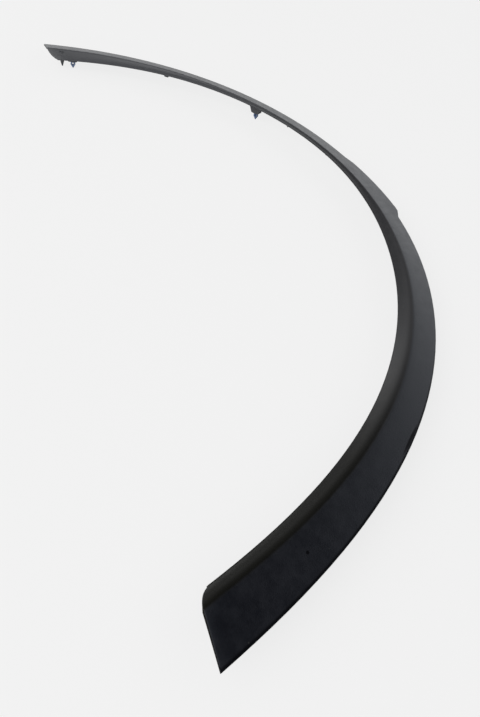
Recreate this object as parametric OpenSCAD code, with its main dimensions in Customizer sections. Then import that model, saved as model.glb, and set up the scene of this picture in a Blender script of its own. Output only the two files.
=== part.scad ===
// Wheel arch trim: one moulded band with its return, towers, ribs and pins, and the clips that hold it.
// It lies face up on its clips. X runs along the chord, Y towards the crown, Z away from the car.

/* [Arch] */
// Radius of the outer edge over the crown
arch_r = 400; // [340:5:460]
// Length of the outer edge from the tail tip to the foot tip
arch_len = 1119; // [1060:1:1180]
// Length of the leg that straightens towards the foot
leg_len = 435; // [330:5:480]
// Share of its curvature that the leg has lost at the foot
leg_ease_share = 0.65; // [0:0.01:0.9]

/* [Section] */
// Width of the face at the foot, its widest place
face_w = 35; // [31:0.5:38]
// Height of the crest over the outer edge
crest_h = 6; // [5.5:0.5:9]
// How far the face bows up over a straight slope
face_bow = 0.1; // [0:0.05:0.8]
// Width of the inner return at the foot
return_w = 11.4; // [10:0.2:15]
// Depth of the inner return at the foot
return_h = 16; // [15:0.5:20]
// Radius of the crest at the foot
crest_r = 9; // [4:0.5:10]
// Thickness of the skin
wall = 2.2; // [1.8:0.1:2.6]
// Thickness of the outer edge
edge_t = 1.6; // [1.2:0.1:2]
// Thickness of the return's free lip
lip_t = 1.4; // [1:0.1:1.8]

/* [Ends] */
// How far the tail end is set back at the crest
tail_mitre = 6; // [2:0.5:14]
// How much further it is set back at the lip
tail_lip_mitre = 7.5; // [2:0.5:14]
// Radius of the tail's lip corner
tail_corner = 13.2; // [4:0.2:14]
// How far the foot end is set back at the crest
foot_mitre = 13.6; // [8:0.2:18]
// How much further it is set back at the lip
foot_lip_mitre = 5; // [0:0.2:10]
// Radius of the foot's lip corner
foot_corner = 14.4; // [6:0.4:20]
// Radius on the top of each end
end_r = 1.2; // [0.6:0.1:1.6]

/* [Edge tab] */
// Length of the tab on the outer edge
tab_len = 122; // [90:2:150]
// How proud the tab is where it begins
tab_start = 2; // [1:0.2:3]
// How proud the tab is at its corner
tab_end = 4.6; // [3:0.2:6]
// Length over which the tab rises
tab_rise = 14; // [8:1:20]
// Length over which the tab's corner falls back
tab_fall = 16; // [8:1:22]

/* [Towers and ribs] */
// Width of a tower's front plate where it leaves the skin
tower_top_w = 22; // [18:0.5:26]
// Width of a tower at its seat
tower_w = 9.6; // [9:0.2:11]
// Depth of a tower, from its open back to its front
tower_d = 9; // [8.6:0.2:11]
// Thickness of a tower's plates
tower_t = 1.2; // [1:0.1:1.4]
// Thickness of the seat that the clip hooks over
seat_t = 1.6; // [1.4:0.1:2]
// Depth of the seats below the outer edge
seat_drop = 7; // [6.6:0.2:9]
// Width of the bare support tower at its foot
support_w = 5; // [4:0.2:7]
// Depth of the bare support tower below the outer edge
support_drop = 4.8; // [4.2:0.2:6.4]
// Thickness of a cross rib
rib_t = 1.2; // [0.8:0.1:1.6]
// Spacing of the cross ribs, about
rib_pitch = 70; // [56:2:110]

/* [Locating pins] */
// Radius of a pin's root, which stops short of the panel
pin_root_r = 3.4; // [3:0.1:4]
// Radius of the length that locates in the panel's hole
pin_r = 2.5; // [2.2:0.1:2.8]
// Length that locates in the panel's hole
pin_len = 2.2; // [1.8:0.1:2.6]
// Radius of a pin's tip
pin_tip_r = 0.9; // [0.8:0.1:1.2]
// Length of the taper below it
pin_taper = 5.8; // [5:0.2:6.4]

/* [Clips] */
// Radius of the clip's neck
neck_r = 1.6; // [1.4:0.1:1.8]
// Clearance round the neck and beside the head
clip_gap = 0.3; // [0.2:0.05:0.4]
// Thickness of the clip's head
head_t = 1.3; // [1:0.1:1.6]
// Radius of the skirt that bears on the panel
skirt_r = 4.2; // [3.8:0.1:4.8]
// Thickness of the skirt
skirt_t = 0.8; // [0.6:0.1:1]
// Radius of the split stem
stem_r = 2.8; // [2.6:0.1:3]
// Radius of the stem's snap bulge
bulge_r = 3.2; // [3.1:0.05:3.5]
// Length of the stem above its bulge
stem_len = 3; // [2.6:0.1:3.8]
// Length of the stem's tapered nose
nose_len = 4.8; // [4.4:0.2:5.8]
// Radius of the nose's tip
nose_tip_r = 0.8; // [0.6:0.1:1]
// Thickness of the legs across the stem
leg_t = 3.6; // [3:0.1:4.4]
// Width of the slot between the two legs
slot_w = 2.2; // [1.6:0.1:2.4]

/* [Hidden] */
// Six sections, evenly spaced from the tail to the foot, as shares of the sizes at the foot
FACE_SHARES = [0.682, 0.611, 0.585, 0.646, 0.760, 1];
RETURN_W_SHARES = [0.884, 0.519, 0.456, 0.968, 1.110, 0.958];
RETURN_H_SHARES = [0.75, 0.28, 0.17, 0.35, 0.63, 0.85];
CREST_R_SHARES = [0.22, 0.16, 0.16, 0.30, 0.60, 1];
// Where the return's curve bends: shares of its width and of its depth at each section
BEND_W_SHARES = [0.40, 0.32, 0.26, 0.42, 0.58, 0.62];
BEND_H_SHARES = [0.56, 0.74, 0.90, 0.56, 0.38, 0.32];
// Columns of points across the face, over the crest and down the return
FACE_COLUMN_SHARES = [0, 0.06, 0.28, 0.52, 0.76, 1];
CREST_COLUMN_SHARES = [0.25, 0.5, 0.75, 1];
RETURN_COLUMN_SHARES = [0.25, 0.5, 0.7, 0.86, 0.96, 1];
// Where the tab begins along the band
TAB_PLACE_SHARE = 0.4105;
// Clips along the band and across it; the third sits out under the tab
CLIP_PLACE_SHARES = [0.0365, 0.2818, 0.4875, 0.6887, 0.8140, 0.9391];
CLIP_ACROSS_SHARES = [0.76, 0.61, 0.27, 0.60, 0.56, 0.50];
// The bare tower and the two pins
SUPPORT_PLACE_SHARE = 0.1556;
SUPPORT_ACROSS_SHARE = 0.56;
PIN_PLACE_SHARES = [0.0232, 0.9660];
PIN_ACROSS_SHARES = [0.72, 0.50];
// How far across the band a cross rib reaches
RIB_FROM_SHARE = 0.12;
RIB_TO_SHARE = 0.84;
// Ring spacing of the swept band and step of the leg's path
RING_STEP = 14;
PATH_STEP = 4;
// Facets of round parts
ROUND = 40;

clip_count = len(CLIP_PLACE_SHARES);
arc_len = arch_len - leg_len;
lip_r = lip_t / 2;
turn = 180 / PI;

// A smooth run through evenly spaced sections
function at_section(list, i) =
    i < 0 ? 2 * list[0] - list[1]
    : i >= len(list) ? 2 * list[len(list) - 1] - list[len(list) - 2]
    : list[i];
function smooth(a, b, c, d, t) =
    b + t / 2 * (c - a + t * (2 * a - 5 * b + 4 * c - d + t * (3 * (b - c) + d - a)));
function run(list, d) =
    let (
        last = len(list) - 1,
        u = max(0, min(d / arch_len, 1)) * last,
        i = min(floor(u), last - 1)
    )
    smooth(at_section(list, i - 1), list[i], list[i + 1], at_section(list, i + 2), u - i);
function face_at(d) = face_w * run(FACE_SHARES, d);
function return_w_at(d) = return_w * run(RETURN_W_SHARES, d);
function return_h_at(d) = return_h * run(RETURN_H_SHARES, d);
function crest_r_at(d) = crest_r * run(CREST_R_SHARES, d);
function width_at(d) = face_at(d) + return_w_at(d);

// The outer edge: an arc from the tail, then a leg whose curvature falls towards the foot
function leg_turn(e) = turn / arch_r * (e - leg_ease_share * e * e * e / (3 * leg_len * leg_len));
function raw_heading(d) =
    d <= arc_len ? -d / arch_r * turn : -arc_len / arch_r * turn - leg_turn(d - arc_len);
function along(angle) = [cos(angle), sin(angle)];
function raw_arc(d) = arch_r * [sin(d / arch_r * turn), cos(d / arch_r * turn) - 1];
leg_steps = ceil(leg_len / PATH_STEP) + 1;
leg_points = [
    for (
        i = 0, p = raw_arc(arc_len);
        i <= leg_steps;
        p = p + PATH_STEP * along(raw_heading(arc_len + (i + 0.5) * PATH_STEP)), i = i + 1
    ) p
];
function raw_place(d) =
    d <= arc_len ? raw_arc(d)
    : let (
        i = floor((d - arc_len) / PATH_STEP),
        from = arc_len + i * PATH_STEP
    )
    leg_points[i] + (d - from) * along(raw_heading((d + from) / 2));

// The band is turned so that its two tips lie on a line along X
raw_chord = raw_place(arch_len);
chord_turn = -atan2(raw_chord[1], raw_chord[0]);
function turned(p) =
    [p[0] * cos(chord_turn) - p[1] * sin(chord_turn), p[0] * sin(chord_turn) + p[1] * cos(chord_turn)];
function heading(d) = raw_heading(d) + chord_turn;
function inward(d) = [sin(heading(d)), -cos(heading(d))];
function place(d, w) = turned(raw_place(d)) + w * inward(d);

// The tab's reach past the outer edge
tab_from = arch_len * TAB_PLACE_SHARE;
tab_to = tab_from + tab_len;
function tab_at(d) =
    lookup(d, [
        [tab_from, 0],
        [tab_from + tab_rise, tab_start],
        [tab_to - tab_fall, tab_end],
        [tab_to - tab_fall * 0.7, tab_end * 0.93],
        [tab_to, 0]
    ]);

// The section: a bowed face, a rounded crest and a return that bends out to its lip
function bend3(a, b, c, t) = (1 - t) * (1 - t) * a + 2 * t * (1 - t) * b + t * t * c;
function unit(v) = v / norm(v);
function left_of(v) = [-v[1], v[0]];
function face_z(x) = crest_h * x + 4 * face_bow * x * (1 - x);
function crest_corner(d) = [face_at(d), crest_h];
function lip_top(d) = [width_at(d) - lip_r, crest_h - return_h_at(d) + lip_t];
function return_bend(d) =
    let (a = crest_corner(d), b = lip_top(d))
    [a[0] + (b[0] - a[0]) * run(BEND_W_SHARES, d), a[1] + (b[1] - a[1]) * run(BEND_H_SHARES, d)];
// Top line and under line share this form: edge point, crest corner, bend, lip, crest radius, bow
function line_points(edge, corner, bend, lip, r, bow) =
    let (
        rise = corner - edge,
        fillet = min(r, norm(bend - corner) / 2),
        start = edge + rise * (1 - fillet / rise[0]) + [0, 4 * bow * (fillet / rise[0]) * (1 - fillet / rise[0])],
        end = corner + fillet * unit(bend - corner)
    )
    concat(
        [
            for (x = FACE_COLUMN_SHARES)
                let (share = x * (1 - fillet / rise[0]))
                edge + rise * share + [0, 4 * bow * share * (1 - share)]
        ],
        [for (t = CREST_COLUMN_SHARES) bend3(start, corner, end, t)],
        [for (t = RETURN_COLUMN_SHARES) bend3(end, bend, lip, t)]
    );
function top_line(d) =
    line_points([0, 0], crest_corner(d), return_bend(d), lip_top(d), crest_r_at(d), face_bow);
function under_line(d) =
    let (
        corner = crest_corner(d),
        bend = return_bend(d),
        face_up = left_of(unit([corner[0], crest_h - 4 * face_bow])),
        side_up = left_of(unit(bend - corner)),
        inset = (face_up + side_up) / (1 + face_up * side_up),
        lip = lip_top(d) - [0, lip_t]
    )
    line_points(
        [0, -edge_t],
        corner - wall * inset,
        bend - (wall + lip_t) / 2 * left_of(unit(lip - corner)),
        lip,
        crest_r_at(d) / 4,
        face_bow
    );
column_count = len(top_line(0));

// Each end is set back across the band, with a round corner at the lip
function corner_cut(r, t) = t >= r ? 0 : r - sqrt(r * r - (r - t) * (r - t));
function set_back(w, face, width, mitre, lip_mitre, corner) =
    mitre * min(w / face, 1)
    + lip_mitre * max(0, (w - face) / (width - face))
    + corner_cut(corner, width - w);
tail_backs = [
    for (p = top_line(0))
        set_back(p[0], face_at(0), width_at(0), tail_mitre, tail_lip_mitre, tail_corner)
];
foot_backs = [
    for (p = top_line(arch_len))
        set_back(p[0], face_at(arch_len), width_at(arch_len), foot_mitre, foot_lip_mitre, foot_corner)
];
function column_d(ring, j) = tail_backs[j] + ring * (1 - (tail_backs[j] + foot_backs[j]) / arch_len);

// Rings: a rounded end, then even steps, with more at the tab
function from_end(ring) = min(ring, arch_len - ring);
function end_fall(e) = e >= end_r ? 0 : end_r - sqrt(end_r * end_r - (end_r - e) * (end_r - e));
end_rings = [0, end_r * 0.3, end_r];
tab_rings = [tab_from, tab_from + tab_rise, tab_to - tab_fall, tab_to - tab_fall * 0.7, tab_to];
even_count = round(arch_len / RING_STEP);
even_rings = [
    for (i = [1:even_count - 1])
        let (ring = i * arch_len / even_count)
        if (min([for (t = tab_rings) abs(t - ring)]) > RING_STEP * 0.3) ring
];
function sorted(list) =
    len(list) < 2 ? list
    : let (pivot = list[floor(len(list) / 2)])
    concat(
        sorted([for (v = list) if (v < pivot) v]),
        [for (v = list) if (v == pivot) v],
        sorted([for (v = list) if (v > pivot) v])
    );
rings = sorted(concat(end_rings, even_rings, tab_rings, [for (e = end_rings) arch_len - e]));
ring_count = len(rings);

// One ring is a closed loop: the top line, the lip's round, the under line back, the edge's nose
function stand(d, p) = let (xy = place(d, p[0])) [xy[0], xy[1], p[1]];
function tab_shift(d, j) =
    j < len(FACE_COLUMN_SHARES) ? tab_at(d) * pow(1 - FACE_COLUMN_SHARES[j], 2) : 0;
function top_point(ring, j) =
    let (d = column_d(ring, j), p = top_line(d)[j])
    stand(d, [p[0] - tab_shift(ring, j), p[1] - end_fall(from_end(ring))]);
function under_point(ring, j) =
    let (d = column_d(ring, j), p = under_line(d)[j])
    stand(d, [p[0] - tab_shift(ring, j), p[1]]);
function lip_point(ring, angle) =
    let (d = column_d(ring, column_count - 1), c = lip_top(d) - [0, lip_r])
    stand(d, [c[0] + lip_r * cos(angle), c[1] + lip_r * sin(angle) - end_fall(from_end(ring)) * (angle > 0 ? 1 : 0)]);
function nose_point(ring) =
    let (d = column_d(ring, 0))
    stand(d, [-edge_t / 4 - tab_shift(ring, 0), -edge_t / 2]);
function loop_at(ring) = concat(
    [for (j = [0:column_count - 1]) top_point(ring, j)],
    [for (angle = [40, -40]) lip_point(ring, angle)],
    [for (j = [column_count - 1:-1:0]) under_point(ring, j)],
    [nose_point(ring)]
);
loops = [for (ring = rings) loop_at(ring)];
loop_size = len(loops[0]);
skin_points = [for (loop = loops) each loop];
side_faces = [
    for (i = [0:ring_count - 2], k = [0:loop_size - 1])
        let (a = i * loop_size + k, b = i * loop_size + (k + 1) % loop_size)
        [a, a + loop_size, b + loop_size, b]
];
// An end is closed column by column, from the nose to the lip
function cap_faces(first) = concat(
    [[0, loop_size - 2, loop_size - 1] + [first, first, first]],
    [
        for (j = [0:column_count - 2])
            [j, j + 1, loop_size - 3 - j, loop_size - 2 - j] + [first, first, first, first]
    ],
    [[column_count - 1, column_count, column_count + 1, column_count + 2] + [first, first, first, first]]
);
function reversed(face) = [for (i = [len(face) - 1:-1:0]) face[i]];
skin_faces = concat(
    side_faces,
    cap_faces(0),
    [for (face = cap_faces((ring_count - 1) * loop_size)) reversed(face)]
);

// The object stands on its clips' tips, with the origin under the middle of its box
clip_drop = seat_drop + skirt_t + stem_len + nose_len + nose_tip_r;
xs = [for (p = skin_points) p[0]];
ys = [for (p = skin_points) p[1]];
box_middle = [(min(xs) + max(xs)) / 2, (min(ys) + max(ys)) / 2, -clip_drop];

// Height of the middle of the skin, so that what hangs below it is rooted in it
function skin_mid_z(d, w) = (lookup(w, top_line(d)) + lookup(w, under_line(d))) / 2;

module at_place(d, w) {
    xy = place(d, w);
    translate([xy[0], xy[1], 0])
        rotate(heading(d) + 180)
        children();
}

module skin() {
    polyhedron(points = skin_points, faces = skin_faces, convexity = 12);
}

// A plate across the band: its top follows the skin, its foot is level
module cross_plate(d, w, from, to, foot_z, t) {
    tops = 6;
    outline = concat(
        [[from, foot_z], [to, foot_z]],
        [for (i = [tops:-1:0]) let (y = from + (to - from) * i / tops) [y, skin_mid_z(d, w + y)]]
    );
    translate([-t / 2, 0, 0])
        rotate([90, 0, 90])
        linear_extrude(t)
        polygon(outline);
}

// A tower: two cheeks, a front plate that widens to the skin, and a slotted seat open at the back
module tower(d, w, foot_w, drop, seated) {
    front = tower_d / 2;
    front_root_z = skin_mid_z(d, w + front - tower_t / 2);
    flare = (tower_top_w - tower_w) * (drop + front_root_z) / (seat_drop + front_root_z);
    at_place(d, w) {
        for (side = [-1, 1])
            translate([side * (foot_w - tower_t) / 2, 0, 0])
                cross_plate(d, w, -front, front, -drop, tower_t);
        translate([0, front, 0])
            rotate([90, 0, 0])
            linear_extrude(tower_t)
            polygon([
                [-foot_w / 2, -drop],
                [foot_w / 2, -drop],
                [(foot_w + flare) / 2, front_root_z],
                [-(foot_w + flare) / 2, front_root_z]
            ]);
        translate([-foot_w / 2, -front, -drop])
            difference() {
                cube([foot_w, tower_d, seat_t]);
                if (seated) {
                    translate([foot_w / 2, front, -seat_t / 2])
                        cylinder(r = neck_r + clip_gap, h = 2 * seat_t, $fn = ROUND);
                    translate([foot_w / 2 - neck_r - clip_gap, -front, -seat_t / 2])
                        cube([2 * (neck_r + clip_gap), tower_d, 2 * seat_t]);
                }
            }
    }
}

module locating_pin(d, w) {
    at_place(d, w) {
        translate([0, 0, -seat_drop])
            cylinder(r = pin_root_r, h = seat_drop + skin_mid_z(d, w), $fn = ROUND);
        translate([0, 0, -seat_drop - pin_len])
            cylinder(r = pin_r, h = pin_len, $fn = ROUND);
        translate([0, 0, -seat_drop - pin_len - pin_taper])
            cylinder(r1 = pin_tip_r, r2 = pin_r, h = pin_taper, $fn = ROUND);
        translate([0, 0, -seat_drop - pin_len - pin_taper])
            sphere(r = pin_tip_r, $fn = ROUND);
    }
}

clip_ds = [for (share = CLIP_PLACE_SHARES) share * arch_len];
clip_ws = [for (i = [0:clip_count - 1]) CLIP_ACROSS_SHARES[i] * width_at(clip_ds[i])];
support_d = SUPPORT_PLACE_SHARE * arch_len;
tower_ds = concat(clip_ds, [support_d]);
// Ribs keep clear of the towers and the ends
rib_count = floor(arch_len / rib_pitch);
rib_ds = [
    for (i = [1:rib_count - 1])
        let (d = i * arch_len / rib_count)
        if (min([for (t = tower_ds) abs(t - d)]) > tower_top_w) d
];

module cross_rib(d) {
    w = width_at(d);
    at_place(d, 0)
        cross_plate(d, 0, w * RIB_FROM_SHARE, w * RIB_TO_SHARE, min(0, skin_mid_z(d, w * RIB_TO_SHARE) - wall), rib_t);
}

module arch_moulding() {
    color([0.16, 0.165, 0.175])
        translate(-box_middle)
        union() {
            skin();
            for (i = [0:clip_count - 1])
                tower(clip_ds[i], clip_ws[i], tower_w, seat_drop, true);
            tower(support_d, SUPPORT_ACROSS_SHARE * width_at(support_d), support_w, support_drop, false);
            for (i = [0:1])
                let (d = PIN_PLACE_SHARES[i] * arch_len)
                locating_pin(d, PIN_ACROSS_SHARES[i] * width_at(d));
            for (d = rib_ds)
                cross_rib(d);
        }
}

// A push clip: a head that slides into the tower, a neck, a skirt and a split, tapered stem
module push_clip() {
    head_w = tower_w - 2 * tower_t - 2 * clip_gap;
    head_d = tower_d - tower_t - clip_gap;
    cut = skirt_t / 2;
    translate([-head_w / 2, -tower_d / 2, seat_t])
        cube([head_w, head_d, head_t]);
    cylinder(r = neck_r, h = seat_t, $fn = ROUND);
    translate([0, 0, -skirt_t])
        cylinder(r = skirt_r, h = skirt_t, $fn = ROUND);
    translate([0, 0, -skirt_t])
        difference() {
            intersection() {
                rotate_extrude($fn = ROUND)
                    polygon([
                        [0, 0],
                        [stem_r, 0],
                        [stem_r, -stem_len * 0.75],
                        [bulge_r, -stem_len],
                        [bulge_r, -stem_len - nose_len * 0.12],
                        [nose_tip_r, -stem_len - nose_len],
                        [nose_tip_r * 0.7, -stem_len - nose_len - nose_tip_r * 0.7],
                        [0, -stem_len - nose_len - nose_tip_r]
                    ]);
                translate([-bulge_r, -leg_t / 2, -2 * stem_len - nose_len])
                    cube([2 * bulge_r, leg_t, 2 * stem_len + nose_len]);
            }
            translate([-slot_w / 2, -leg_t, -stem_len - nose_len * 0.25])
                cube([slot_w, 2 * leg_t, stem_len + nose_len * 0.25 - cut]);
        }
}

module clip(i) {
    color([0.22, 0.30, 0.44])
        translate(-box_middle)
        at_place(clip_ds[i], clip_ws[i])
        translate([0, 0, -seat_drop])
        push_clip();
}

arch_moulding();
for (i = [1:clip_count])
    clip(i - 1);
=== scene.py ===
"""Wheel arch trim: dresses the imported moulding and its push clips, and sets the studio round them."""

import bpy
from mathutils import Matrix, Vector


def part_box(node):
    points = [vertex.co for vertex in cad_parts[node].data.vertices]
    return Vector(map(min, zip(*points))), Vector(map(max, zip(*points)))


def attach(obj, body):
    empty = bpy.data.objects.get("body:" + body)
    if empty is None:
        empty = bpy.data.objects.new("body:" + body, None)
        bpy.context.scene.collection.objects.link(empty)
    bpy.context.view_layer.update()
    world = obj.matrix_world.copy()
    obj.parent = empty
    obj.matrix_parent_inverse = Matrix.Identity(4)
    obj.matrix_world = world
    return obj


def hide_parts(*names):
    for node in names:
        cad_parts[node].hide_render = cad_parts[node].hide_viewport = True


bl_info = {
    "name": "Wheel Arch Trim",
    "version": (1, 0, 0),
    "blender": (4, 5, 0),
    "location": "View3D > Sidebar > Arch Trim",
    "description": "Finishes a moulded wheel arch trim and its push clips, and lights them",
    "category": "Object",
}

import math

import bpy
from bpy.props import FloatProperty, FloatVectorProperty, PointerProperty
from mathutils import Matrix, Vector

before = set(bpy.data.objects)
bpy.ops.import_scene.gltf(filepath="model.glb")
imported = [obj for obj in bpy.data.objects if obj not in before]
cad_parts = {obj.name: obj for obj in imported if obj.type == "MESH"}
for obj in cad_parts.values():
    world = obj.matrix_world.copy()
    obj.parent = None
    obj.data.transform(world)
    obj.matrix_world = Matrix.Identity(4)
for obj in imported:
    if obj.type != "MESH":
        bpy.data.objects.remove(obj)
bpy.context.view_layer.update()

MM = 0.001
BODY = "root"
MOULDING = "arch_moulding"
CLIP_PREFIX = "clip_"

# The outer edge lies this far above the heads of the clips
EDGE_OVER_HEADS = 4.1 * MM
EDGE_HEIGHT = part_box("clip_1")[1].z + EDGE_OVER_HEADS
CLIP_NODES = sorted(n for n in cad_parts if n.startswith(CLIP_PREFIX))
# Points of a CAD node's loose triangles that are closer than this are one point
JOIN_DISTANCE = 0.001 * MM

# Centre of the outer edge's arc
ARCH_CENTRE = (-12.4 * MM, -238.7 * MM, 0)
# The painted shade of the rim lies beyond these distances from the arch's centre, and the lip within them
RIM_SHADE_INNER = 386 * MM
RIM_SHADE_OUTER = 394 * MM
# The way that the dark patch on the outer edge runs, its depth, and how dull it is
PATCH_HEADING = math.radians(-48)
PATCH_DEPTH = 30 * MM
PATCH_STRENGTH = 0.85
# Painted shade: small dark spots where the face has small dents
DENT_SHADES = ((352.2 * MM, -89.1 * MM, EDGE_HEIGHT + 3.1 * MM),)

# The plastic's cloudy marks, its smears and its finest grain
CLOUD_SIZE = 60 * MM
SMEAR_SIZE = 9 * MM
FINE_SIZE = 0.5 * MM
# Grains of dust
DUST_SPACING = 14 * MM
DUST_COLOUR = (0.09, 0.09, 0.085)
# Specular levels of the clean plastic, and of the dark patch and the painted shade where the sheen is
# dulled
CLEAN_SHEEN = 0.45
DULL_SHEEN = 0.07
PLASTIC_IOR = 1.52

# The nylon's flow marks, its finest grain and how deep light goes into it
FLOW_SIZE = 2.2 * MM
NYLON_GRAIN_SIZE = 0.3 * MM
NYLON_GRAIN_DEPTH = 0.02 * MM
NYLON_LIGHT_DEPTH = 1 * MM
NYLON_IOR = 1.53

# The floor's faint mottle, where it starts to fade to white, and where it is white
MOTTLE_SIZE = 0.4
FADE_START = 1.2
FADE_END = 3.5
# Between these lengths a reflection changes from the floor's shadow to its white
NEAR_REFLECTION = 40 * MM
FAR_REFLECTION = 400 * MM
# The large soft lamp, and the brighter side of the room
KEY_PLACE = Vector((0.22, -1.63, 1.75))
KEY_SIZE = 2.2
NEAR_SIDE = (-0.35, -0.90, 0.25)
# Heights, as a direction's Z, between which the room goes from bright to dark
BRIGHT_HEIGHT = 0.25
DARK_HEIGHT = 0.92
# The camera's long side in millimetres, and how near and far it sees
SENSOR_SIDE = 36
VIEW_START = 10 * MM
VIEW_END = 50


# Sizes and colours

class ArchMouldingSettings(bpy.types.PropertyGroup):
    """Finish of the moulded band"""

    smooth_angle: FloatProperty(
        name="Smooth Angle",
        description="Edges flatter than this are shaded smooth",
        default=math.radians(34),
        subtype="ANGLE",
    )
    edge_round: FloatProperty(
        name="Edge Round",
        description="Radius that the light finds on the moulding's sharp edges",
        default=0.35 * MM,
        unit="LENGTH",
    )
    colour: FloatVectorProperty(
        name="Colour",
        description="Dark grey of the plastic",
        default=(0.0026, 0.0028, 0.0050),
        size=3,
        subtype="COLOR",
    )
    colour_worn: FloatVectorProperty(
        name="Worn Colour",
        description="Paler grey where the surface has been handled",
        default=(0.0060, 0.0062, 0.0088),
        size=3,
        subtype="COLOR",
    )
    # Near black of the dark patch on the outer edge, also used as painted shade on the rim and in the
    # small dents
    colour_dark_patch_and_shade: FloatVectorProperty(
        name="Rubbed Colour",
        description="Near black of the damp, rubbed patch on the outer edge",
        default=(0.0022, 0.0022, 0.0030),
        size=3,
        subtype="COLOR",
    )
    # Painted shade: olive grey of the dulled return near the foot, standing in for a darker reflection
    # there
    colour_return_shade: FloatVectorProperty(
        name="Film Colour",
        description="Dull olive of the road film on the return near the foot",
        default=(0.0062, 0.0062, 0.0050),
        size=3,
        subtype="COLOR",
    )
    # Where the painted shade on the return near the foot begins and where it is full
    return_shade_start: FloatProperty(
        name="Film Start",
        description="How far along X from the middle the road film begins",
        default=150 * MM,
        unit="LENGTH",
    )
    return_shade_full: FloatProperty(
        name="Film Full",
        description="How far along X from the middle the road film is full",
        default=330 * MM,
        unit="LENGTH",
    )
    # Painted light: pale grey on the return towards the tail, standing in for the light that it reflects
    colour_return_light: FloatVectorProperty(
        name="Haze Colour",
        description="Grey of the dust on the return towards the tail",
        default=(0.070, 0.072, 0.078),
        size=3,
        subtype="COLOR",
    )
    # Where the painted light on the return begins and where it is full
    return_light_start: FloatProperty(
        name="Haze Start",
        description="How far along X from the middle the dust begins",
        default=-20 * MM,
        unit="LENGTH",
    )
    return_light_full: FloatProperty(
        name="Haze Full",
        description="How far along X from the middle the dust is full",
        default=-330 * MM,
        unit="LENGTH",
    )
    grain_size: FloatProperty(
        name="Grain Size",
        description="Size of one cell of the moulded grain",
        default=0.9 * MM,
        unit="LENGTH",
    )
    grain_depth: FloatProperty(
        name="Grain Depth",
        description="Depth of the moulded grain",
        default=0.045 * MM,
        unit="LENGTH",
    )
    roughness: FloatProperty(
        name="Roughness",
        description="Roughness of the grained surface",
        default=0.36,
        min=0,
        max=1,
        subtype="FACTOR",
    )
    shine_tint: FloatVectorProperty(
        name="Shine Tint",
        description="Cool tint of the light that the face mirrors",
        default=(0.92, 1.0, 1.14),
        size=3,
        subtype="COLOR",
    )
    # The darker, duller patch along the outer edge
    patch_place: FloatVectorProperty(
        name="Patch Place",
        description="Middle of the rubbed patch on the outer edge",
        default=(285.6 * MM, 27.0 * MM, EDGE_HEIGHT),
        size=3,
        unit="LENGTH",
    )
    patch_length: FloatProperty(
        name="Patch Length",
        description="Length of the rubbed patch",
        default=36 * MM,
        unit="LENGTH",
    )
    patch_width: FloatProperty(
        name="Patch Width",
        description="Reach of the patch from the outer edge",
        default=1.3 * MM,
        unit="LENGTH",
    )
    # Where the painted shade along the outer edge begins, where it is darkest, and how high up the face
    # it reaches
    rim_shade_start: FloatProperty(
        name="Rim Start",
        description="How far along X from the middle the outer edge begins to darken",
        default=160 * MM,
        unit="LENGTH",
    )
    rim_shade_full: FloatProperty(
        name="Rim Full",
        description="How far along X from the middle the outer edge is darkest",
        default=290 * MM,
        unit="LENGTH",
    )
    rim_shade_rise: FloatProperty(
        name="Rim Rise",
        description="Rise of the face over its outer edge within which the rim is dark",
        default=0.55 * MM,
        unit="LENGTH",
    )
    # Painted shade of the small dents in the face
    dent_shade_size: FloatProperty(
        name="Nick Size",
        description="Radius of a small dark nick in the face",
        default=1.7 * MM,
        unit="LENGTH",
    )


class ArchClipSettings(bpy.types.PropertyGroup):
    """Finish of the push clips"""

    edge_round: FloatProperty(
        name="Edge Round",
        description="Radius of the clip's moulded edges",
        default=0.16 * MM,
        unit="LENGTH",
    )
    round_angle: FloatProperty(
        name="Round Angle",
        description="Edges sharper than this are rounded",
        default=math.radians(40),
        subtype="ANGLE",
    )
    smooth_angle: FloatProperty(
        name="Smooth Angle",
        description="Edges flatter than this are shaded smooth",
        default=math.radians(30),
        subtype="ANGLE",
    )
    colour: FloatVectorProperty(
        name="Colour",
        description="Blue of the nylon",
        default=(0.100, 0.150, 0.265),
        size=3,
        subtype="COLOR",
    )
    roughness: FloatProperty(
        name="Roughness",
        description="Roughness of the nylon",
        default=0.38,
        min=0,
        max=1,
        subtype="FACTOR",
    )


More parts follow.
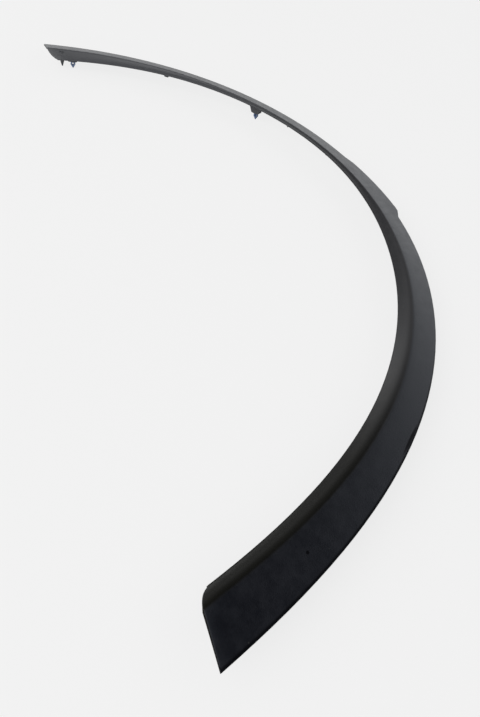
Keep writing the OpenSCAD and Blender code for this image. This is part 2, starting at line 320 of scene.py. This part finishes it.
class ArchStageSettings(bpy.types.PropertyGroup):
    """Floor, light and camera"""

    camera_place: FloatVectorProperty(
        name="Camera Place",
        description="Where the camera stands over the outer edge's plane",
        default=(493.15 * MM, -241.74 * MM, 384.24 * MM),
        size=3,
        unit="LENGTH",
    )
    camera_heading: FloatProperty(
        name="Camera Heading",
        description="Direction that the camera looks in, round from +X",
        default=math.radians(152.51),
        subtype="ANGLE",
    )
    camera_dip: FloatProperty(
        name="Camera Dip",
        description="How far the camera looks down",
        default=math.radians(47.433),
        subtype="ANGLE",
    )
    camera_roll: FloatProperty(
        name="Camera Roll",
        description="How far the camera leans over",
        default=math.radians(12.497),
        subtype="ANGLE",
    )
    lens: FloatProperty(
        name="Lens",
        description="Focal length in millimetres for a 36 mm long side",
        default=31.837,
        min=10,
        max=120,
    )
    floor_size: FloatProperty(
        name="Floor Size",
        description="Side of the floor",
        default=60,
        unit="LENGTH",
    )
    floor_colour: FloatVectorProperty(
        name="Floor Colour",
        description="Colour of the floor",
        default=(0.60, 0.60, 0.60),
        size=3,
        subtype="COLOR",
    )
    floor_white: FloatProperty(
        name="Floor White",
        description="Share of plain white in what the camera sees of the floor",
        default=0.78,
        min=0,
        max=1,
        subtype="FACTOR",
    )
    horizon_light: FloatProperty(
        name="Horizon Light",
        description="Brightness of the room near the horizon",
        default=1.4,
        min=0,
    )
    side_light: FloatProperty(
        name="Side Light",
        description="How many times brighter the room is on the near side",
        default=1.45,
        min=1,
    )
    zenith_light: FloatProperty(
        name="Zenith Light",
        description="Brightness of the room overhead",
        default=0.03,
        min=0,
    )
    key_power: FloatProperty(
        name="Key Power",
        description="Power of the large soft lamp",
        default=17,
        min=0,
        unit="POWER",
    )


# Small helpers for meshes and materials

def select_only(obj):
    """obj is the one selected and active object."""
    bpy.ops.object.select_all(action="DESELECT")
    obj.select_set(True)
    bpy.context.view_layer.objects.active = obj


def merged_copy(node, name):
    """A copy of a CAD node with its loose triangles joined into closed shells."""
    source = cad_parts[node]
    mesh = source.data.copy()
    mesh.name = name
    mesh.materials.clear()
    obj = bpy.data.objects.new(name, mesh)
    bpy.context.scene.collection.objects.link(obj)
    select_only(obj)
    bpy.ops.object.mode_set(mode="EDIT")
    bpy.ops.mesh.select_all(action="SELECT")
    bpy.ops.mesh.remove_doubles(threshold=JOIN_DISTANCE)
    bpy.ops.mesh.customdata_custom_splitnormals_clear()
    bpy.ops.object.mode_set(mode="OBJECT")
    return obj


def apply_modifier(obj, kind, **settings):
    """Adds a modifier with these settings and applies it."""
    select_only(obj)
    modifier = obj.modifiers.new(kind.title(), kind)
    for key, value in settings.items():
        setattr(modifier, key, value)
    bpy.ops.object.modifier_apply(modifier=modifier.name)


def new_material(name):
    """An empty material: its node tree, its output node and its surface shader."""
    material = bpy.data.materials.new(name)
    material.use_nodes = True
    tree = material.node_tree
    tree.nodes.clear()
    output = tree.nodes.new("ShaderNodeOutputMaterial")
    shader = tree.nodes.new("ShaderNodeBsdfPrincipled")
    tree.links.new(shader.outputs["BSDF"], output.inputs["Surface"])
    return material, tree, shader


def add_node(tree, kind, values=None, links=None, **settings):
    """A shader node with its settings, its sockets' values and its links."""
    made = tree.nodes.new("ShaderNode" + kind)
    for key, value in settings.items():
        setattr(made, key, value)
    for key, value in (values or {}).items():
        made.inputs[key].default_value = value
    for key, socket in (links or {}).items():
        tree.links.new(socket, made.inputs[key])
    return made


def noise(tree, place, size, detail=3.0, roughness=0.55):
    """A noise whose features are about this size, in metres."""
    values = {"Scale": 1 / size, "Detail": detail, "Roughness": roughness}
    return add_node(tree, "TexNoise", values, {"Vector": place}).outputs["Fac"]


def remap(tree, socket, low, high, to_low=0.0, to_high=1.0):
    """A value taken smoothly from one range to another, and kept inside it."""
    values = {"From Min": low, "From Max": high, "To Min": to_low, "To Max": to_high}
    made = add_node(
        tree, "MapRange", values, {"Value": socket}, interpolation_type="SMOOTHSTEP"
    )
    return made.outputs["Result"]


def mix_colour(tree, share, first, second):
    """Two colours mixed; each is a socket or three numbers."""
    made = add_node(tree, "Mix", data_type="RGBA")
    tree.links.new(share, made.inputs["Factor"])
    for end, colour in ((made.inputs[6], first), (made.inputs[7], second)):
        if isinstance(colour, bpy.types.NodeSocket):
            tree.links.new(colour, end)
        else:
            end.default_value = (*colour, 1)
    return made.outputs[2]


def calculate(tree, operation, first, second):
    """A sum on sockets or numbers."""
    made = add_node(tree, "Math", operation=operation)
    for index, value in enumerate((first, second)):
        if isinstance(value, bpy.types.NodeSocket):
            tree.links.new(value, made.inputs[index])
        else:
            made.inputs[index].default_value = value
    return made.outputs[0]


# Materials

def dark_patch_and_dent_shade(tree, place, smear, sizes):
    """The dark patch on the outer edge, and the painted shade of small dents in the face."""
    from_patch = add_node(
        tree,
        "Mapping",
        {
            "Location": sizes.patch_place,
            "Rotation": (0, 0, PATCH_HEADING),
            "Scale": (sizes.patch_length / 2, sizes.patch_width, PATCH_DEPTH),
        },
        {"Vector": place},
        vector_type="TEXTURE",
    ).outputs["Vector"]
    reach = add_node(tree, "VectorMath", links={0: from_patch}, operation="LENGTH").outputs["Value"]
    ragged = calculate(tree, "ADD", reach, calculate(tree, "MULTIPLY", smear, 0.5))
    patch = remap(tree, ragged, 1.7, 0.7)
    for dent in DENT_SHADES:
        from_dent = add_node(
            tree, "VectorMath", {1: dent}, {0: place}, operation="DISTANCE"
        ).outputs["Value"]
        dent_shade = remap(tree, from_dent, sizes.dent_shade_size, sizes.dent_shade_size / 2)
        patch = calculate(tree, "MAXIMUM", patch, dent_shade)
    return patch


def facing_centre(tree, place, normal):
    """One on the return, which faces the arch's centre, and zero on the face."""
    spoke = add_node(tree, "VectorMath", {0: ARCH_CENTRE}, {1: place}, operation="SUBTRACT")
    spoke = add_node(tree, "VectorMath", {1: (1, 1, 0)}, {0: spoke.outputs[0]}, operation="MULTIPLY")
    spoke = add_node(tree, "VectorMath", links={0: spoke.outputs[0]}, operation="NORMALIZE")
    facing = add_node(
        tree, "VectorMath", links={0: spoke.outputs[0], 1: normal}, operation="DOT_PRODUCT"
    ).outputs["Value"]
    return remap(tree, facing, -0.12, 0.14)


def painted_return_shade(tree, on_return, normal, along, sizes):
    """Painted shade: the return, and what turns down from the face, dulled and made olive grey near the
    foot, standing in for a darker reflection there.
    """
    upward = add_node(tree, "SeparateXYZ", links={0: normal}).outputs["Z"]
    turned = calculate(tree, "MAXIMUM", on_return, remap(tree, upward, 0.975, 0.90))
    return calculate(tree, "MULTIPLY", turned, remap(tree, along, sizes.return_shade_start, sizes.return_shade_full))


def painted_rim_shade(tree, place, axes, sizes):
    """Painted shade: a dark, dull line along the outer edge and the lowest strip of the face above it,
    near the foot.
    """
    from_centre = add_node(
        tree, "VectorMath", {1: ARCH_CENTRE}, {0: place}, operation="DISTANCE"
    ).outputs["Value"]
    low = remap(tree, axes["Z"], EDGE_HEIGHT + sizes.rim_shade_rise, EDGE_HEIGHT)
    outer = remap(tree, from_centre, RIM_SHADE_INNER, RIM_SHADE_OUTER)
    near_foot = remap(tree, axes["X"], sizes.rim_shade_start, sizes.rim_shade_full)
    return calculate(tree, "MULTIPLY", calculate(tree, "MULTIPLY", low, outer), near_foot)


def grained_plastic(sizes):
    """Dark moulded plastic with a fine grain, marks of handling and dust, a dark patch, painted shade on
    its rim and return, and painted light on its return.
    """
    material, tree, shader = new_material("Grained dark plastic")
    coordinates = add_node(tree, "TexCoord").outputs
    place, normal = coordinates["Object"], coordinates["Normal"]
    axes = add_node(tree, "SeparateXYZ", links={0: place}).outputs

    cloud = noise(tree, place, CLOUD_SIZE, 4.0, 0.6)
    smear = noise(tree, place, SMEAR_SIZE, 5.0, 0.7)
    fine = noise(tree, place, FINE_SIZE, 2.0, 0.5)
    handled = calculate(tree, "ADD", cloud, calculate(tree, "MULTIPLY", smear, 0.5))
    colour = mix_colour(tree, remap(tree, handled, 0.62, 0.98), sizes.colour, sizes.colour_worn)
    dust_cells = add_node(
        tree, "TexVoronoi", {"Scale": 1 / DUST_SPACING}, {"Vector": place}
    ).outputs["Distance"]
    dust = calculate(tree, "MULTIPLY", remap(tree, dust_cells, 0.05, 0.02), 0.35)
    colour = mix_colour(tree, dust, colour, DUST_COLOUR)

    # The dark patch, and the painted shade of the small dents
    patch = dark_patch_and_dent_shade(tree, place, smear, sizes)
    on_return = facing_centre(tree, place, normal)
    # Painted shade on the return near the foot
    return_shade = painted_return_shade(tree, on_return, normal, axes["X"], sizes)
    # Painted shade along the outer edge near the foot
    rim_shade = painted_rim_shade(tree, place, axes, sizes)
    # Painted light on the return towards the tail
    return_light_along = remap(tree, axes["X"], sizes.return_light_start, sizes.return_light_full)
    return_light = calculate(tree, "MULTIPLY", on_return, return_light_along)
    for share, marked in (
        (patch, sizes.colour_dark_patch_and_shade),
        (return_shade, sizes.colour_return_shade),
        (rim_shade, sizes.colour_dark_patch_and_shade),
        (return_light, sizes.colour_return_light),
    ):
        colour = mix_colour(tree, share, colour, marked)
    tree.links.new(colour, shader.inputs["Base Color"])

    tint = mix_colour(tree, on_return, sizes.shine_tint, (1, 1, 1))
    tree.links.new(tint, shader.inputs["Specular Tint"])
    # The sheen is dulled on the dark patch, and as painted shade on the return and the rim near the foot
    dull = calculate(tree, "MULTIPLY", patch, PATCH_STRENGTH)
    for share in (return_shade, rim_shade):
        dull = calculate(tree, "MAXIMUM", dull, share)
    sheen = remap(tree, dull, 0.0, 1.0, CLEAN_SHEEN, DULL_SHEEN)
    tree.links.new(sheen, shader.inputs["Specular IOR Level"])
    rough = remap(tree, smear, 0.2, 0.8, sizes.roughness - 0.05, sizes.roughness + 0.07)
    tree.links.new(rough, shader.inputs["Roughness"])
    shader.inputs["IOR"].default_value = PLASTIC_IOR

    cells = add_node(
        tree, "TexVoronoi", {"Scale": 1 / sizes.grain_size}, {"Vector": place}, feature="SMOOTH_F1"
    ).outputs["Distance"]
    height = calculate(tree, "ADD", cells, calculate(tree, "MULTIPLY", fine, 0.8))
    rounded = add_node(tree, "Bevel", {"Radius": sizes.edge_round}, samples=6)
    bump = add_node(
        tree,
        "Bump",
        {"Strength": 1.0, "Distance": sizes.grain_depth},
        {"Height": height, "Normal": rounded.outputs["Normal"]},
    )
    tree.links.new(bump.outputs["Normal"], shader.inputs["Normal"])
    return material


def blue_nylon(sizes):
    """Satin blue nylon with faint flow marks."""
    material, tree, shader = new_material("Blue nylon")
    place = add_node(tree, "TexCoord").outputs["Object"]
    flow = noise(tree, place, FLOW_SIZE, 3.0, 0.6)
    dark = tuple(channel * 0.72 for channel in sizes.colour)
    light = tuple(min(1, channel * 1.2) for channel in sizes.colour)
    colour = mix_colour(tree, remap(tree, flow, 0.3, 0.7), dark, light)
    tree.links.new(colour, shader.inputs["Base Color"])
    rough = remap(tree, flow, 0.3, 0.7, sizes.roughness - 0.05, sizes.roughness + 0.08)
    tree.links.new(rough, shader.inputs["Roughness"])
    shader.inputs["IOR"].default_value = NYLON_IOR
    shader.inputs["Subsurface Weight"].default_value = 0.08
    shader.inputs["Subsurface Radius"].default_value = (0.3, 0.5, 1.0)
    shader.inputs["Subsurface Scale"].default_value = NYLON_LIGHT_DEPTH
    fine = noise(tree, place, NYLON_GRAIN_SIZE, 2.0, 0.5)
    bump = add_node(tree, "Bump", {"Strength": 0.5, "Distance": NYLON_GRAIN_DEPTH}, {"Height": fine})
    tree.links.new(bump.outputs["Normal"], shader.inputs["Normal"])
    return material


def seen_directly(tree):
    """One for rays from the camera and for clear reflections, zero for the light that falls on things."""
    rays = add_node(tree, "LightPath").outputs
    far_off = remap(tree, rays["Ray Length"], NEAR_REFLECTION, FAR_REFLECTION)
    mirrored = calculate(tree, "MULTIPLY", rays["Is Glossy Ray"], far_off)
    seen = calculate(tree, "MAXIMUM", rays["Is Camera Ray"], mirrored)
    return calculate(tree, "MAXIMUM", seen, rays["Is Transmission Ray"])


def floor_material(sizes):
    """A pale floor that the camera sees as near white, with the shadow kept."""
    material, tree, shader = new_material("Pale floor")
    place = add_node(tree, "TexCoord").outputs["Object"]
    mottle = noise(tree, place, MOTTLE_SIZE, 2.0, 0.5)
    shade = tuple(channel * 0.97 for channel in sizes.floor_colour)
    tree.links.new(mix_colour(tree, mottle, sizes.floor_colour, shade), shader.inputs["Base Color"])
    shader.inputs["Roughness"].default_value = 0.9
    shader.inputs["Specular IOR Level"].default_value = 0.1
    glow = add_node(tree, "Emission", {"Color": (1, 1, 1, 1), "Strength": 1.0})
    middle = add_node(tree, "VectorMath", links={0: place}, operation="LENGTH").outputs["Value"]
    white = remap(tree, middle, FADE_START, FADE_END, sizes.floor_white, 1.0)
    share = calculate(tree, "MULTIPLY", seen_directly(tree), white)
    mixed = add_node(tree, "MixShader", links={0: share, 1: shader.outputs[0], 2: glow.outputs[0]})
    output = next(n for n in tree.nodes if n.type == "OUTPUT_MATERIAL")
    tree.links.new(mixed.outputs[0], output.inputs["Surface"])
    return material


# Operators

class ARCHTRIM_OT_moulding(bpy.types.Operator):
    """Joins and smooths the moulded band, and gives it its grained plastic"""

    bl_idname = "archtrim.moulding"
    bl_label = "Moulding"

    def execute(self, context):
        sizes = context.scene.arch_moulding_settings
        band = merged_copy(MOULDING, "moulded_band")
        if not band.data.polygons:
            raise RuntimeError("The moulding's mesh is empty")
        select_only(band)
        bpy.ops.object.shade_smooth_by_angle(angle=sizes.smooth_angle)
        material = grained_plastic(sizes)
        for obj in (band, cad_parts[MOULDING]):
            obj.data.materials.clear()
            obj.data.materials.append(material)
        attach(band, BODY)
        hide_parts(MOULDING)
        return {"FINISHED"}


class ARCHTRIM_OT_clips(bpy.types.Operator):
    """Rounds the edges of a copy of each push clip, where that clip stands"""

    bl_idname = "archtrim.clips"
    bl_label = "Push Clips"

    def execute(self, context):
        sizes = context.scene.arch_clip_settings
        material = blue_nylon(sizes)
        for node in CLIP_NODES:
            clip = merged_copy(node, node.replace(CLIP_PREFIX, "push_clip_"))
            if not clip.data.polygons:
                raise RuntimeError("The clip's mesh is empty")
            apply_modifier(
                clip,
                "BEVEL",
                width=sizes.edge_round,
                segments=2,
                limit_method="ANGLE",
                angle_limit=sizes.round_angle,
            )
            select_only(clip)
            bpy.ops.object.shade_smooth_by_angle(angle=sizes.smooth_angle)
            for obj in (clip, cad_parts[node]):
                obj.data.materials.clear()
                obj.data.materials.append(material)
            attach(clip, BODY)
            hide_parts(node)
        return {"FINISHED"}


class ARCHTRIM_OT_stage(bpy.types.Operator):
    """Lays the floor, hangs the lamp, lights the room and stands the camera"""

    bl_idname = "archtrim.stage"
    bl_label = "Stage"

    def execute(self, context):
        sizes = context.scene.arch_stage_settings
        self.lay_floor(sizes)
        self.light_room(context.scene, sizes)
        self.hang_lamp(sizes)
        self.stand_camera(context.scene, sizes)
        context.scene.view_settings.view_transform = "Standard"
        return {"FINISHED"}

    def lay_floor(self, sizes):
        bpy.ops.object.select_all(action="DESELECT")
        bpy.ops.mesh.primitive_plane_add(size=sizes.floor_size, location=(0, 0, 0))
        floor = bpy.context.active_object
        floor.name = "floor"
        floor.data.materials.append(floor_material(sizes))

    def light_room(self, scene, sizes):
        """The room is bright near the horizon and dark overhead, as over a photographer's table."""
        world = bpy.data.worlds.new("Room")
        scene.world = world
        world.use_nodes = True
        tree = world.node_tree
        tree.nodes.clear()
        direction = add_node(tree, "TexCoord").outputs["Generated"]
        height = add_node(tree, "SeparateXYZ", links={0: direction}).outputs["Z"]
        level = remap(
            tree, height, BRIGHT_HEIGHT, DARK_HEIGHT, sizes.horizon_light, sizes.zenith_light
        )
        near_side = add_node(
            tree, "VectorMath", {1: NEAR_SIDE}, {0: direction}, operation="DOT_PRODUCT"
        ).outputs["Value"]
        level = calculate(
            tree, "MULTIPLY", level, remap(tree, near_side, 0.1, 1.0, 1.0, sizes.side_light)
        )
        white = add_node(tree, "LightPath").outputs["Is Camera Ray"]
        brightness = add_node(tree, "Mix", {3: 1.0}, {0: white, 2: level}, data_type="FLOAT")
        room = add_node(
            tree, "Background", {"Color": (1, 1, 1, 1)}, {"Strength": brightness.outputs[0]}
        )
        output = add_node(tree, "OutputWorld", links={"Surface": room.outputs[0]})
        output.is_active_output = True

    def hang_lamp(self, sizes):
        """One large soft lamp behind the camera."""
        data = bpy.data.lights.new("Key", "AREA")
        data.shape = "DISK"
        data.size = KEY_SIZE
        data.energy = sizes.key_power
        lamp = bpy.data.objects.new("Key", data)
        bpy.context.scene.collection.objects.link(lamp)
        lamp.location = KEY_PLACE
        aim = Vector((0, 0, EDGE_HEIGHT)) - KEY_PLACE
        lamp.rotation_euler = aim.to_track_quat("-Z", "Y").to_euler()

    def stand_camera(self, scene, sizes):
        heading, dip, roll = sizes.camera_heading, sizes.camera_dip, sizes.camera_roll
        forward = Vector(
            (
                math.cos(heading) * math.cos(dip),
                math.sin(heading) * math.cos(dip),
                -math.sin(dip),
            )
        )
        level_right = forward.cross(Vector((0, 0, 1))).normalized()
        level_up = level_right.cross(forward)
        right = math.cos(roll) * level_right + math.sin(roll) * level_up
        up = math.cos(roll) * level_up - math.sin(roll) * level_right
        data = bpy.data.cameras.new("Camera")
        data.sensor_fit = "AUTO"
        data.sensor_width = SENSOR_SIDE
        data.lens = sizes.lens
        data.clip_start, data.clip_end = VIEW_START, VIEW_END
        camera = bpy.data.objects.new("Camera", data)
        scene.collection.objects.link(camera)
        turned = Matrix((right, up, -forward)).transposed().to_4x4()
        above_floor = Vector(sizes.camera_place) + Vector((0, 0, EDGE_HEIGHT))
        camera.matrix_world = Matrix.Translation(above_floor) @ turned
        scene.camera = camera


class ARCHTRIM_PT_panel(bpy.types.Panel):
    """Lists the trim's pieces and its stage"""

    bl_idname = "ARCHTRIM_PT_panel"
    bl_label = "Wheel Arch Trim"
    bl_space_type = "VIEW_3D"
    bl_region_type = "UI"
    bl_category = "Arch Trim"

    def draw(self, context):
        scene = context.scene
        rows = (
            (ARCHTRIM_OT_moulding, scene.arch_moulding_settings),
            (ARCHTRIM_OT_clips, scene.arch_clip_settings),
            (ARCHTRIM_OT_stage, scene.arch_stage_settings),
        )
        for operator, settings in rows:
            box = self.layout.box()
            box.operator(operator.bl_idname)
            for name in settings.__annotations__:
                box.prop(settings, name)


SETTINGS = {
    "arch_moulding_settings": ArchMouldingSettings,
    "arch_clip_settings": ArchClipSettings,
    "arch_stage_settings": ArchStageSettings,
}
OPERATORS = (ARCHTRIM_OT_moulding, ARCHTRIM_OT_clips, ARCHTRIM_OT_stage)


def register():
    for settings in SETTINGS.values():
        bpy.utils.register_class(settings)
    for name, settings in SETTINGS.items():
        setattr(bpy.types.Scene, name, PointerProperty(type=settings))
    for operator in OPERATORS:
        bpy.utils.register_class(operator)
    bpy.utils.register_class(ARCHTRIM_PT_panel)


def unregister():
    bpy.utils.unregister_class(ARCHTRIM_PT_panel)
    for operator in reversed(OPERATORS):
        bpy.utils.unregister_class(operator)
    for name, settings in SETTINGS.items():
        delattr(bpy.types.Scene, name)
        bpy.utils.unregister_class(settings)


def main():
    register()
    bpy.ops.archtrim.moulding()
    bpy.ops.archtrim.clips()
    bpy.ops.archtrim.stage()


if __name__ == "__main__":
    main()
